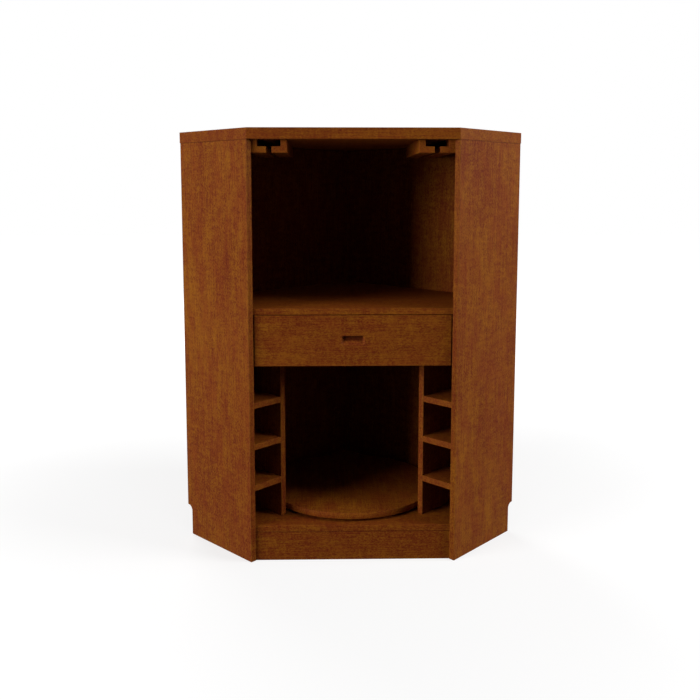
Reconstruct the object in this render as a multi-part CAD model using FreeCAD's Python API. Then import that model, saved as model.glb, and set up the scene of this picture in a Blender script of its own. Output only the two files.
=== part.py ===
import math
import os

from FreeCAD import Vector
import Part

# Corner module of a modular bar counter, in millimetres.
# +Z is up, the open side for the bartender faces -Y, and the origin is the middle of the base.
# In plan the module is a square with its inner corner cut off. The cut is the open front. An end panel
# stands at 45 degrees on each side of it, and two customer panels meet square at the rear corner.

# Carcass
counter_height = 1067.0
top_thickness = 27.0
top_overhang = 2.5
board = 15.0
customer_side = 621.0
end_depth = 264.0
front_reveal = 2.0

# Base and toe kick
plinth_height = 74.0
notch_depth = 18.0
notch_height = 78.0
notch_corner = 14.0
front_block_leg = 45.0
rear_block_leg = 60.0
block_floor_gap = 12.0

# Shelf, deck and drawer front
shelf_top = 635.5
drawer_front_height = 125.0
drawer_head_gap = 1.5
drawer_side_reveal = 2.0
drawer_face_gap = 1.0
deck_drop = 3.0

# Scooped pull of the drawer front
pull_width = 58.0
pull_height = 23.0
pull_corner = 6.0
pull_floor_corner = 3.0
pull_depth = 9.0
pull_side_slope = 5.4
pull_top_slope = 1.5
pull_lower_slope = 12.5

# Bottle racks
cubby_width = 89.25
cubby_setback = 3.0
cubby_shelf_count = 3

# Stemware rails
rail_leg_width = 15.0
rail_leg_height = 16.5
rail_lip_width = 21.6
rail_lip_thickness = 15.0
stem_gap = 13.1
rail_side_gap = 0.4
rail_setback = 1.0
rail_wall_gap = 18.0

# Drawer box
cheek_inset = 15.8
cheek_wall_gap = 2.0
drawer_board = 12.0
drawer_box_height = 85.0
drawer_rear_gap = 3.0
drawer_bottom_thickness = 4.0
groove_height = 10.0
groove_depth = 5.0
groove_clearance = 0.15
groove_end_gap = 0.5

# Roller runners
runner_gap = 12.5
runner_sheet = 1.2
channel_deck_gap = 6.0
channel_flange = 9.4
channel_head_gap = 1.0
runner_flange_tip = 3.0
runner_seat_width = 10.0
roller_radius = 9.0
roller_width = 6.6
roller_inset = 16.0
rolling_gap = 0.3
axle_radius = 3.0
axle_head_radius = 4.6
axle_head_thickness = 0.8
axle_clearance = 0.06
axle_end_gap = 0.15

# Turntable and its flat ball bearing
turntable_centre_depth = 257.5
turntable_clearance = 13.8
turntable_thickness = 15.0
bearing_height = 8.0
bearing_sheet = 1.2
bearing_plate_side = 152.0
bearing_plate_corner = 10.0
bearing_hole_radius = 36.0
race_radius = 56.0
race_wall = 2.4
race_wall_height = 3.2
ball_ring_width = 6.0
ball_ring_clearance = 0.3

# Loose tenons that join the boards
tenon_thickness = 6.0
tenon_width = 40.0
tenon_clearance = 0.1
tenon_end_gap = 1.0
panel_tenon_reach = 9.0
board_tenon_reach = 20.0
top_tenon_reach = 16.0
edge_tenon_reach = 24.0
tenon_shares = (0.25, 0.75)

# One overrun serves every cut
overrun = 5.0

# Plan worked out from the carcass sizes
DIAGONAL = math.sqrt(0.5)
SIDES = {"left": -1, "right": 1}
opening_half = (customer_side - end_depth) * DIAGONAL
total_depth = (customer_side + end_depth) * DIAGONAL + top_overhang / DIAGONAL
front_line = -total_depth / 2
inner_along = end_depth - board
inner_corner_y = front_line + (end_depth + customer_side - 2 * board) * DIAGONAL
face_depth = board * DIAGONAL + front_reveal
face_y = front_line + face_depth

# Levels, from the floor up
bottom_top = plinth_height + board
top_underside = counter_height - top_thickness
shelf_underside = shelf_top - board
drawer_top = shelf_underside - drawer_head_gap
drawer_bottom_edge = drawer_top - drawer_front_height
deck_underside = drawer_bottom_edge - deck_drop
deck_top = deck_underside + board
runner_floor = deck_top + channel_deck_gap + runner_sheet
runner_flange_level = runner_floor + 2 * (roller_radius + rolling_gap)
roller_level = runner_floor + rolling_gap + roller_radius
channel_head_level = runner_flange_level + runner_sheet + channel_head_gap
bearing_top = bottom_top + bearing_height

# Places across and along the drawer
deck_depth = face_depth + board + drawer_face_gap
drawer_back_y = face_y + board
cheek_front_y = drawer_back_y + drawer_face_gap
drawer_half = opening_half - board * DIAGONAL - drawer_side_reveal
cheek_outer = drawer_half - cheek_inset
cheek_inner = cheek_outer - board
box_half = cheek_inner - runner_gap
box_inner = box_half - drawer_board
cheek_rear_y = inner_corner_y - cheek_outer - cheek_wall_gap
box_rear_y = cheek_rear_y - drawer_rear_gap
box_top = runner_floor + drawer_box_height
groove_low = runner_floor + groove_height
groove_high = groove_low + drawer_bottom_thickness + groove_clearance

# Largest disc that turns clear of the dividers, the customer panels and the front edge
divider_outer = board + cubby_width
divider_inner = divider_outer + board
turntable_y = front_line + turntable_centre_depth
divider_room = (turntable_centre_depth + opening_half) * DIAGONAL - divider_inner
wall_room = inner_along - (turntable_centre_depth - opening_half) * DIAGONAL
front_room = turntable_centre_depth - face_depth
turntable_radius = min(divider_room, wall_room, front_room) - turntable_clearance


def splayed(side, along, across, level=0):
    """Give the point at a distance along an end panel from its front and across from its outer face."""
    x = side * (opening_half + (along - across) * DIAGONAL)
    y = front_line + (along + across) * DIAGONAL
    return Vector(x, y, level)


def panel_along(depth):
    """Give the distance along an end panel's inner face at a depth behind the front line."""
    return depth / DIAGONAL - board


def end_panel_x(depth):
    """Give the half width between the end panels at a depth behind the front line."""
    return opening_half + depth - 2 * board * DIAGONAL


def prism(points, z_low, z_high):
    """Raise a flat outline from one level to another."""
    outline = [Vector(point.x, point.y, z_low) for point in points]
    face = Part.Face(Part.makePolygon(outline + outline[:1]))
    return face.extrude(Vector(0, 0, z_high - z_low))


def block(x_range, y_range, z_range):
    """Make a square-edged block between three pairs of limits."""
    size = [high - low for low, high in (x_range, y_range, z_range)]
    return Part.makeBox(*size, Vector(x_range[0], y_range[0], z_range[0]))


def mirrored_range(side, inner, outer):
    """Give the ascending X limits of a piece that lies on one side of the middle."""
    return tuple(sorted((side * inner, side * outer)))


def splayed_board(side, along_range, across_range, z_range):
    """Make a board that stands square to an end panel, between limits in the panel's own directions."""
    along_low, along_high = along_range
    across_low, across_high = across_range
    corners = [
        splayed(side, along_low, across_low),
        splayed(side, along_high, across_low),
        splayed(side, along_high, across_high),
        splayed(side, along_low, across_high),
    ]
    return prism(corners, *z_range)


def lengthwise(profile, y_low, y_high):
    """Draw a profile of (x, z) points out along Y."""
    outline = [Vector(x, y_low, z) for x, z in profile]
    face = Part.Face(Part.makePolygon(outline + outline[:1]))
    return face.extrude(Vector(0, y_high - y_low, 0))


def ring(centre, inner_radius, outer_radius, height):
    """Make an upright ring that stands on a centre point."""
    outer = Part.makeCylinder(outer_radius, height, centre)
    return outer.cut(Part.makeCylinder(inner_radius, height, centre))


def inside_outline(depth):
    """Outline the space between the end and customer panels, from a front depth to the rear corner."""
    front = panel_along(depth)
    return [
        splayed(-1, front, board),
        splayed(-1, inner_along, board),
        splayed(-1, inner_along, customer_side - board),
        splayed(1, inner_along, board),
        splayed(1, front, board),
    ]


# Loose tenons


def tenon(side, middle, half_along, half_across, half_height, room):
    """Make a flat tenon, or its mortise when it is given room, about a point beside an end panel."""
    along, across, level = middle
    along_range = (along - half_along - room, along + half_along + room)
    across_range = (across - half_across - room, across + half_across + room)
    level_range = (level - half_height - room, level + half_height + room)
    return splayed_board(side, along_range, across_range, level_range)


def board_tenons(side, room=0, end_room=0):
    """Make the tenons that join the floor board, the deck and the shelf to one end panel."""
    boards = ((face_depth, plinth_height), (deck_depth, deck_underside), (face_depth, shelf_underside))
    half_length = (board_tenon_reach + panel_tenon_reach) / 2 + end_room
    across = board + (board_tenon_reach - panel_tenon_reach) / 2
    tenons = []
    for depth, underside in boards:
        front = panel_along(depth)
        for share in tenon_shares:
            middle = (front + share * (inner_along - front), across, underside + board / 2)
            tenons.append(tenon(side, middle, tenon_width / 2, half_length, tenon_thickness / 2, room))
    return tenons


def top_tenons(side, room=0, end_room=0):
    """Make the tenons that join the end panel and the customer panel of one side to the counter top."""
    half_length = (top_tenon_reach + edge_tenon_reach) / 2 + end_room
    level = top_underside + (top_tenon_reach - edge_tenon_reach) / 2
    tenons = []
    for share in tenon_shares:
        end_middle = (share * end_depth, board / 2, level)
        tenons.append(tenon(side, end_middle, tenon_width / 2, tenon_thickness / 2, half_length, room))
        wall_across = board + share * (customer_side - 2 * board)
        wall_middle = (end_depth - board / 2, wall_across, level)
        tenons.append(tenon(side, wall_middle, tenon_thickness / 2, tenon_width / 2, half_length, room))
    return tenons


def mortises(make_tenons):
    """Make the mortises of one kind of tenon on both sides."""
    return [hole for side in SIDES.values() for hole in make_tenons(side, tenon_clearance, tenon_end_gap)]


def both_sides(make_tenons):
    """Gather one kind of tenon from both sides."""
    return Part.makeCompound([solid for side in SIDES.values() for solid in make_tenons(side)])


# Stemware rails

rack_outer = end_panel_x(face_depth) - rail_side_gap
rail_width = rail_leg_width + rail_lip_width
rack_inner = rack_outer - 2 * rail_width - stem_gap
rail_bottom = top_underside - rail_leg_height - rail_lip_thickness
rail_front_y = face_y + rail_setback
rail_rear_y = inner_corner_y - rack_outer - rail_wall_gap
RAILS = {"outer": (rack_outer, -1), "inner": (rack_inner, 1)}


def glass_rail(side, rail):
    """Make one L-shaped rail: a leg under the top and a lip that carries the foot of a glass."""
    edge, toward = RAILS[rail]
    lip_edge = edge + toward * rail_width
    leg_face = edge + toward * rail_leg_width
    lip_top = rail_bottom + rail_lip_thickness
    profile = [
        (side * edge, rail_bottom),
        (side * lip_edge, rail_bottom),
        (side * lip_edge, lip_top),
        (side * leg_face, lip_top),
        (side * leg_face, top_underside),
        (side * edge, top_underside),
    ]
    return lengthwise(profile, rail_front_y, rail_rear_y)


# Carcass boards


def counter_top():
    """Make the five-sided top, flush at the ends and front and proud of the customer panels."""
    rear = end_depth + top_overhang
    outline = [
        splayed(-1, 0, 0),
        splayed(-1, rear, 0),
        splayed(-1, rear, customer_side + top_overhang),
        splayed(1, rear, 0),
        splayed(1, 0, 0),
    ]
    return prism(outline, top_underside, counter_height).cut(mortises(top_tenons))


def end_panel(side):
    """Make a splayed end panel, notched at the customer side for the toe kick."""
    panel = splayed_board(side, (0, end_depth), (0, board), (0, top_underside))
    notch_along = end_depth - notch_depth
    across_range = (-overrun, board + overrun)
    notch = splayed_board(side, (notch_along, end_depth + overrun), across_range, (-overrun, notch_height))
    corner = splayed(side, notch_along, board / 2, notch_height)
    corner_edge = min(notch.Edges, key=lambda edge: edge.CenterOfMass.distanceToPoint(corner))
    panel = panel.cut(notch.makeFillet(notch_corner, [corner_edge]))
    return panel.cut(mortises(board_tenons) + mortises(top_tenons))


def customer_panel(side):
    """Make a customer panel, butted to the end panel and mitred at the rear corner."""
    corners = [
        splayed(side, end_depth, board),
        splayed(side, end_depth, customer_side),
        splayed(side, inner_along, customer_side - board),
        splayed(side, inner_along, board),
    ]
    return prism(corners, notch_height, top_underside).cut(mortises(top_tenons))


def level_board(depth, underside):
    """Make a level board that fills the carcass from a front depth to the rear corner."""
    return prism(inside_outline(depth), underside, underside + board).cut(mortises(board_tenons))


def front_kick_board():
    """Make the plinth board under the front edge of the floor board."""
    back = panel_along(face_depth + board)
    front = panel_along(face_depth)
    corners = [
        splayed(-1, front, board),
        splayed(-1, back, board),
        splayed(1, back, board),
        splayed(1, front, board),
    ]
    return prism(corners, 0, plinth_height)


def rear_plinth(side):
    """Make a plinth board set back under a customer panel."""
    outer = end_depth - notch_depth
    inner = outer - board
    mitre = customer_side - notch_depth
    corners = [
        splayed(side, outer, board),
        splayed(side, outer, mitre),
        splayed(side, inner, mitre - board),
        splayed(side, inner, board),
    ]
    return prism(corners, 0, plinth_height)


def rear_block_outline():
    """Outline the glue block in the rear corner of the plinth."""
    inner = end_depth - notch_depth - board
    corner = customer_side - notch_depth - board
    return [
        splayed(-1, inner, corner),
        splayed(-1, inner, corner - rear_block_leg),
        splayed(1, inner, corner - rear_block_leg),
    ]


def plinth_corner_blocks():
    """Make the three glue blocks in the corners of the plinth."""
    blocks = [prism(rear_block_outline(), block_floor_gap, plinth_height)]
    back = panel_along(face_depth + board)
    for side in SIDES.values():
        corner = splayed(side, back, board)
        outline = [
            corner,
            splayed(side, back + front_block_leg, board),
            corner - Vector(side * front_block_leg, 0, 0),
        ]
        blocks.append(prism(outline, block_floor_gap, plinth_height))
    return Part.makeCompound(blocks)


def bottom_bearer():
    """Make the bearer under the turntable, from the kick board to the rear glue block."""
    rear_y = rear_block_outline()[1].y
    return block((-board / 2, board / 2), (face_y + board, rear_y), (0, plinth_height))


def bottle_divider(side):
    """Make the upright of a bottle rack, parallel to the end panel."""
    along_range = (cubby_setback, inner_along)
    return splayed_board(side, along_range, (divider_outer, divider_inner), (bottom_top, deck_underside))


def bottle_shelf(side, number):
    """Make one of the evenly spaced shelves of a bottle rack, counted from below."""
    clear_height = (deck_underside - bottom_top - cubby_shelf_count * board) / (cubby_shelf_count + 1)
    top = bottom_top + number * (clear_height + board)
    return splayed_board(side, (cubby_setback, inner_along), (board, divider_outer), (top - board, top))


# Drawer cheeks and runners


def from_cheek(side, distance):
    """Give the X of a distance from a cheek's inner face towards the drawer."""
    return side * (cheek_inner - distance)


def drawer_cheek(side):
    """Make the upright beside the drawer that carries a runner."""
    x_range = mirrored_range(side, cheek_inner, cheek_outer)
    return block(x_range, (cheek_front_y, cheek_rear_y), (deck_top, shelf_underside))


def runner_channel(side):
    """Make the cabinet half of a runner, a channel open to the drawer."""
    low = runner_floor - runner_sheet
    high = channel_head_level + runner_sheet
    profile = [
        (from_cheek(side, 0), low),
        (from_cheek(side, channel_flange), low),
        (from_cheek(side, channel_flange), runner_floor),
        (from_cheek(side, runner_sheet), runner_floor),
        (from_cheek(side, runner_sheet), channel_head_level),
        (from_cheek(side, channel_flange), channel_head_level),
        (from_cheek(side, channel_flange), high),
        (from_cheek(side, 0), high),
    ]
    return lengthwise(profile, cheek_front_y, cheek_rear_y)


def drawer_runner(side):
    """Make the drawer half of a runner: a seat under the side, a web, and a flange over the front roller."""
    low = runner_floor - runner_sheet
    high = runner_flange_level + runner_sheet
    web = runner_gap - runner_sheet
    profile = [
        (from_cheek(side, runner_gap + runner_seat_width), low),
        (from_cheek(side, runner_gap + runner_seat_width), runner_floor),
        (from_cheek(side, runner_gap), runner_floor),
        (from_cheek(side, runner_gap), high),
        (from_cheek(side, runner_flange_tip), high),
        (from_cheek(side, runner_flange_tip), runner_flange_level),
        (from_cheek(side, web), runner_flange_level),
        (from_cheek(side, web), low),
    ]
    return lengthwise(profile, drawer_back_y, box_rear_y)


# Rollers turn on short axles: the front ones on the channels, the rear ones on the drawer runners
roller_stand_off = (runner_gap - roller_width) / 2 - runner_sheet


def front_axle_base(side):
    """Give where a front axle stands on its channel, and the way it points."""
    x = from_cheek(side, runner_sheet)
    return Vector(x, cheek_front_y + roller_inset, roller_level), Vector(-side, 0, 0)


def rear_axle_base(side):
    """Give where a rear axle stands on its drawer runner, and the way it points."""
    x = from_cheek(side, runner_gap - runner_sheet)
    return Vector(x, box_rear_y - roller_inset, roller_level), Vector(side, 0, 0)


def axle(base, direction):
    """Make an axle that stands on a runner, with a flat head outside the roller."""
    length = roller_stand_off + roller_width + axle_end_gap
    shank = Part.makeCylinder(axle_radius, length, base, direction)
    head = Part.makeCylinder(axle_head_radius, axle_head_thickness, base + direction * length, direction)
    return shank.fuse(head)


def roller(base, direction):
    """Make a roller with a bore for its axle."""
    start = base + direction * roller_stand_off
    wheel = Part.makeCylinder(roller_radius, roller_width, start, direction)
    return wheel.cut(Part.makeCylinder(axle_radius + axle_clearance, roller_width, start, direction))


def axle_pair(base_of):
    """Make the left and right axles of one kind."""
    return Part.makeCompound([axle(*base_of(side)) for side in SIDES.values()])


# Drawer


def rounded_outline(half_width, half_height, radius, y, middle):
    """Outline a rectangle with round corners, upright at one Y and centred at one level."""
    corner_x = half_width - radius
    corner_z = half_height - radius
    edges = []
    last_end = None
    first_start = None
    for quarter in range(4):
        start_angle = quarter * math.pi / 2
        sign_x = 1 if quarter in (0, 3) else -1
        sign_z = 1 if quarter in (0, 1) else -1
        centre = Vector(sign_x * corner_x, y, middle + sign_z * corner_z)
        angles = [start_angle + step * math.pi / 4 for step in range(3)]
        points = [centre + Vector(math.cos(angle), 0, math.sin(angle)) * radius for angle in angles]
        if last_end is not None:
            edges.append(Part.makeLine(last_end, points[0]))
        else:
            first_start = points[0]
        edges.append(Part.Arc(*points).toShape())
        last_end = points[2]
    edges.append(Part.makeLine(last_end, first_start))
    return Part.Wire(edges)


def pull_scoop():
    """Make the scooped hollow of the pull, steep under its upper lip and shallow above its lower lip."""
    middle = drawer_bottom_edge + drawer_front_height / 2
    half_width = pull_width / 2
    half_height = pull_height / 2
    rim = rounded_outline(half_width, half_height, pull_corner, face_y, middle)
    floor_half_width = half_width - pull_side_slope
    floor_half_height = half_height - (pull_top_slope + pull_lower_slope) / 2
    floor_middle = middle + (pull_lower_slope - pull_top_slope) / 2
    floor_y = face_y + pull_depth
    floor = rounded_outline(floor_half_width, floor_half_height, pull_floor_corner, floor_y, floor_middle)
    mouth = Part.Face(rim).extrude(Vector(0, -overrun, 0))
    return Part.makeLoft([rim, floor], True, True).fuse(mouth)


def drawer_front():
    """Make the drawer front with its scooped pull."""
    front = block((-drawer_half, drawer_half), (face_y, drawer_back_y), (drawer_bottom_edge, drawer_top))
    return front.cut(pull_scoop())


def drawer_inner_front():
    """Make the front wall of the drawer box, grooved for the bottom."""
    rear_y = drawer_back_y + drawer_board
    wall = block((-box_inner, box_inner), (drawer_back_y, rear_y), (runner_floor, box_top))
    groove_x = (-box_inner - overrun, box_inner + overrun)
    groove = block(groove_x, (rear_y - groove_depth, rear_y + overrun), (groove_low, groove_high))
    return wall.cut(groove)


def drawer_side(side):
    """Make a side of the drawer box, grooved for the bottom."""
    x_range = mirrored_range(side, box_inner, box_half)
    wall = block(x_range, (drawer_back_y, box_rear_y), (runner_floor, box_top))
    groove = block(
        mirrored_range(side, box_inner - overrun, box_inner + groove_depth),
        (drawer_back_y + drawer_board - groove_depth, box_rear_y + overrun),
        (groove_low, groove_high),
    )
    return wall.cut(groove)


def drawer_back():
    """Make the rear wall of the drawer box, which stands over the bottom."""
    return block((-box_inner, box_inner), (box_rear_y - drawer_board, box_rear_y), (groove_high, box_top))


def drawer_bottom():
    """Make the thin bottom that slides into the grooves under the rear wall."""
    half = box_inner + groove_depth - groove_end_gap
    front_y = drawer_back_y + drawer_board - groove_depth + groove_end_gap
    return block((-half, half), (front_y, box_rear_y), (groove_low, groove_low + drawer_bottom_thickness))


# Turntable and bearing


def on_turntable_axis(level):
    """Give the point on the turntable's axis at a level."""
    return Vector(0, turntable_y, level)


def bearing_plate(plate_low, race_low, race_inner):
    """Make a square bearing plate with a round hole and one wall of the ball race."""
    half = bearing_plate_side / 2
    y_range = (turntable_y - half, turntable_y + half)
    plate = block((-half, half), y_range, (plate_low, plate_low + bearing_sheet))
    upright_edges = [edge for edge in plate.Edges if edge.BoundBox.ZLength > bearing_sheet / 2]
    plate = plate.makeFillet(bearing_plate_corner, upright_edges)
    wall = ring(on_turntable_axis(race_low), race_inner, race_inner + race_wall, race_wall_height)
    hole = Part.makeCylinder(bearing_hole_radius, bearing_sheet, on_turntable_axis(plate_low))
    return plate.fuse(wall).cut(hole)


def bearing_lower_plate():
    """Make the plate that is fixed to the floor board, with the inner wall of the race."""
    race_inner = race_radius - ball_ring_width / 2 - ball_ring_clearance - race_wall
    return bearing_plate(bottom_top, bottom_top + bearing_sheet, race_inner)


def bearing_upper_plate():
    """Make the plate that turns with the disc, with the outer wall of the race."""
    race_inner = race_radius + ball_ring_width / 2 + ball_ring_clearance
    race_low = bearing_top - bearing_sheet - race_wall_height
    return bearing_plate(bearing_top - bearing_sheet, race_low, race_inner)


def bearing_ball_ring():
    """Make the ring of caged balls that runs between the plates."""
    height = bearing_height - 2 * (bearing_sheet + ball_ring_clearance)
    half = ball_ring_width / 2
    foot = on_turntable_axis(bottom_top + bearing_sheet + ball_ring_clearance)
    return ring(foot, race_radius - half, race_radius + half, height)


def turntable_disc():
    """Make the revolving shelf."""
    return Part.makeCylinder(turntable_radius, turntable_thickness, on_turntable_axis(bearing_top))


def sided_parts(side_name):
    """Make every piece that has a twin on the other side, under its node name."""
    side = SIDES[side_name]
    pieces = {
        "end_panel": end_panel(side),
        "customer_panel": customer_panel(side),
        "rear_plinth": rear_plinth(side),
        "bottle_divider": bottle_divider(side),
        "drawer_cheek": drawer_cheek(side),
        "runner_channel": runner_channel(side),
        "drawer_runner": drawer_runner(side),
        "drawer_side": drawer_side(side),
        "front_roller": roller(*front_axle_base(side)),
        "rear_roller": roller(*rear_axle_base(side)),
    }
    named = {f"{piece}_{side_name}": shape for piece, shape in pieces.items()}
    for rail in RAILS:
        named[f"glass_rail_{side_name}_{rail}"] = glass_rail(side, rail)
    for number in range(1, cubby_shelf_count + 1):
        named[f"bottle_shelf_{side_name}_{number}"] = bottle_shelf(side, number)
    return named


def all_parts():
    """Make every piece under its node name."""
    named = {
        "counter_top": counter_top(),
        "fixed_shelf": level_board(face_depth, shelf_underside),
        "drawer_deck": level_board(deck_depth, deck_underside),
        "bottom_panel": level_board(face_depth, plinth_height),
        "bottom_bearer": bottom_bearer(),
        "front_kick_board": front_kick_board(),
        "plinth_corner_blocks": plinth_corner_blocks(),
        "carcass_tenons": both_sides(board_tenons),
        "top_tenons": both_sides(top_tenons),
        "front_roller_axles": axle_pair(front_axle_base),
        "rear_roller_axles": axle_pair(rear_axle_base),
        "drawer_front": drawer_front(),
        "drawer_inner_front": drawer_inner_front(),
        "drawer_back": drawer_back(),
        "drawer_bottom": drawer_bottom(),
        "turntable_disc": turntable_disc(),
        "bearing_lower_plate": bearing_lower_plate(),
        "bearing_upper_plate": bearing_upper_plate(),
        "bearing_ball_ring": bearing_ball_ring(),
    }
    for side_name in SIDES:
        named.update(sided_parts(side_name))
    return named


os.makedirs("parts", exist_ok=True)
for node_name, node_shape in all_parts().items():
    node_shape.exportStep(f"parts/{node_name}.step")
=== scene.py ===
"""Looks of the corner module of a modular bar counter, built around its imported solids."""

import logging
import math
from dataclasses import dataclass, field
from enum import Enum
from typing import Optional, Union

import bmesh
import bpy
import numpy as np
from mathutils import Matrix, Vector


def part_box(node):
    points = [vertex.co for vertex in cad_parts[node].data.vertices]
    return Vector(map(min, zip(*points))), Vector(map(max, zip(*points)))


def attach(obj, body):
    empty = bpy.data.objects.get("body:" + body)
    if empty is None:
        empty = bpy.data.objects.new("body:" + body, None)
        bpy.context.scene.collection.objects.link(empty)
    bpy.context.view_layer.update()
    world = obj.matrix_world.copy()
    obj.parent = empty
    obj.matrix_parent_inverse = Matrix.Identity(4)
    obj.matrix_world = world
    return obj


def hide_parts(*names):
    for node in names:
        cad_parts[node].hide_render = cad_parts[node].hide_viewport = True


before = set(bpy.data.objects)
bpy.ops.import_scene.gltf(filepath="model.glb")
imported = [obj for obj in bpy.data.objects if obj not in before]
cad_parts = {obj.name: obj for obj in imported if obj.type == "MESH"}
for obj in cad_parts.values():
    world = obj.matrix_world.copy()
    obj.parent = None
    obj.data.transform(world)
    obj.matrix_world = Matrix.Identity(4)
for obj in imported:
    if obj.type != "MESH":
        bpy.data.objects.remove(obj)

LOG = logging.getLogger("bar_counter")
Colour = tuple[float, float, float]
Point = tuple[float, float, float]
Span = tuple[float, float]
Value = Union["Wire", float]
FULL_TURN = 2.0 * math.pi
SCREEN_FULL = 255.0
SCREEN_KNEE = 0.04045
SCREEN_SLOPE = 12.92
SCREEN_OFFSET = 0.055
SCREEN_POWER = 2.4
EASED_SAMPLES = 4
MIX_FACTOR, MIX_FIRST, MIX_SECOND, MIX_RESULT = 0, 6, 7, 2
SAME_PLACE = 1e-6
UP: Point = (0.0, 0.0, 1.0)
DOWN: Point = (0.0, 0.0, -1.0)
BACKWARD: Point = (0.0, 1.0, 0.0)
FORWARD: Point = (0.0, -1.0, 0.0)
NO_SHIFT: Point = (0.0, 0.0, 0.0)
PLAIN: Point = (1.0, 1.0, 1.0)


def linear(red: float, green: float, blue: float) -> Colour:
    """Turn a colour written on the 0 to 255 screen scale into linear light.

    Args:
        red: Red on the screen scale.
        green: Green on the screen scale.
        blue: Blue on the screen scale.

    Returns:
        The three channels in linear light.
    """
    screen = np.array([red, green, blue]) / SCREEN_FULL
    curve = ((screen + SCREEN_OFFSET) / (1.0 + SCREEN_OFFSET)) ** SCREEN_POWER
    light = np.where(screen <= SCREEN_KNEE, screen / SCREEN_SLOPE, curve)
    return tuple(float(channel) for channel in light)


def opaque(colour: Colour) -> tuple[float, float, float, float]:
    """Add full cover to a colour, as colour sockets ask."""
    return (*colour, 1.0)


class Grain(Enum):
    """The axis that the grain follows."""

    CROSSWISE = 0
    DEEP = 1
    UPRIGHT = 2

    def stretch(self, length: float) -> Point:
        """Give the factors that draw a solid pattern out along the grain.

        Args:
            length: The length of a mark along the grain in widths of the mark.

        Returns:
            The factor along each axis.
        """
        return tuple(1.0 / length if axis == self.value else 1.0 for axis in range(3))


@dataclass(frozen=True)
class Pattern:
    """A solid random pattern.

    Attributes:
        length: The length of a mark along the grain, in widths of the mark.
        per_metre: The number of marks in a metre across the grain.
        layers: The number of finer layers that are added.
        strength: The strength of each finer layer as a share of the one before it.
    """

    length: float
    per_metre: float
    layers: float = 2.0
    strength: float = 0.5


class Wire:
    """A node's output that takes part in Python expressions on values."""

    def __init__(self, recipe: "Recipe", socket: bpy.types.NodeSocket) -> None:
        """Keep the recipe that owns the node and the node's output socket."""
        self.recipe = recipe
        self.socket = socket

    def math(self, operation: str, first: Value, second: Value) -> "Wire":
        """Add a Math node.

        Args:
            operation: The Math node's operation.
            first: The first input, a wire or a plain number.
            second: The second input, a wire or a plain number.

        Returns:
            The wire of the result.
        """
        return self.recipe.node("ShaderNodeMath", {"operation": operation}, {0: first, 1: second})

    def __add__(self, other: Value) -> "Wire":
        """Add a value."""
        return self.math("ADD", self, other)

    def __radd__(self, other: float) -> "Wire":
        """Add to a number."""
        return self.math("ADD", other, self)

    def __sub__(self, other: Value) -> "Wire":
        """Subtract a value."""
        return self.math("SUBTRACT", self, other)

    def __rsub__(self, other: float) -> "Wire":
        """Subtract from a number."""
        return self.math("SUBTRACT", other, self)

    def __mul__(self, other: Value) -> "Wire":
        """Multiply by a value."""
        return self.math("MULTIPLY", self, other)

    def __rmul__(self, other: float) -> "Wire":
        """Multiply a number."""
        return self.math("MULTIPLY", other, self)

    def larger(self, other: "Wire") -> "Wire":
        """Take the larger of two values."""
        return self.math("MAXIMUM", self, other)

    def between(self, span: Span) -> "Wire":
        """Rise smoothly from 0 at the low end of a span to 1 at its high end.

        Args:
            span: The value that gives 0 and the value that gives 1.

        Returns:
            The wire of the smooth step.
        """
        inputs = {"Value": self, "From Min": span[0], "From Max": span[1]}
        return self.recipe.node("ShaderNodeMapRange", {"interpolation_type": "SMOOTHSTEP"}, inputs)


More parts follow.
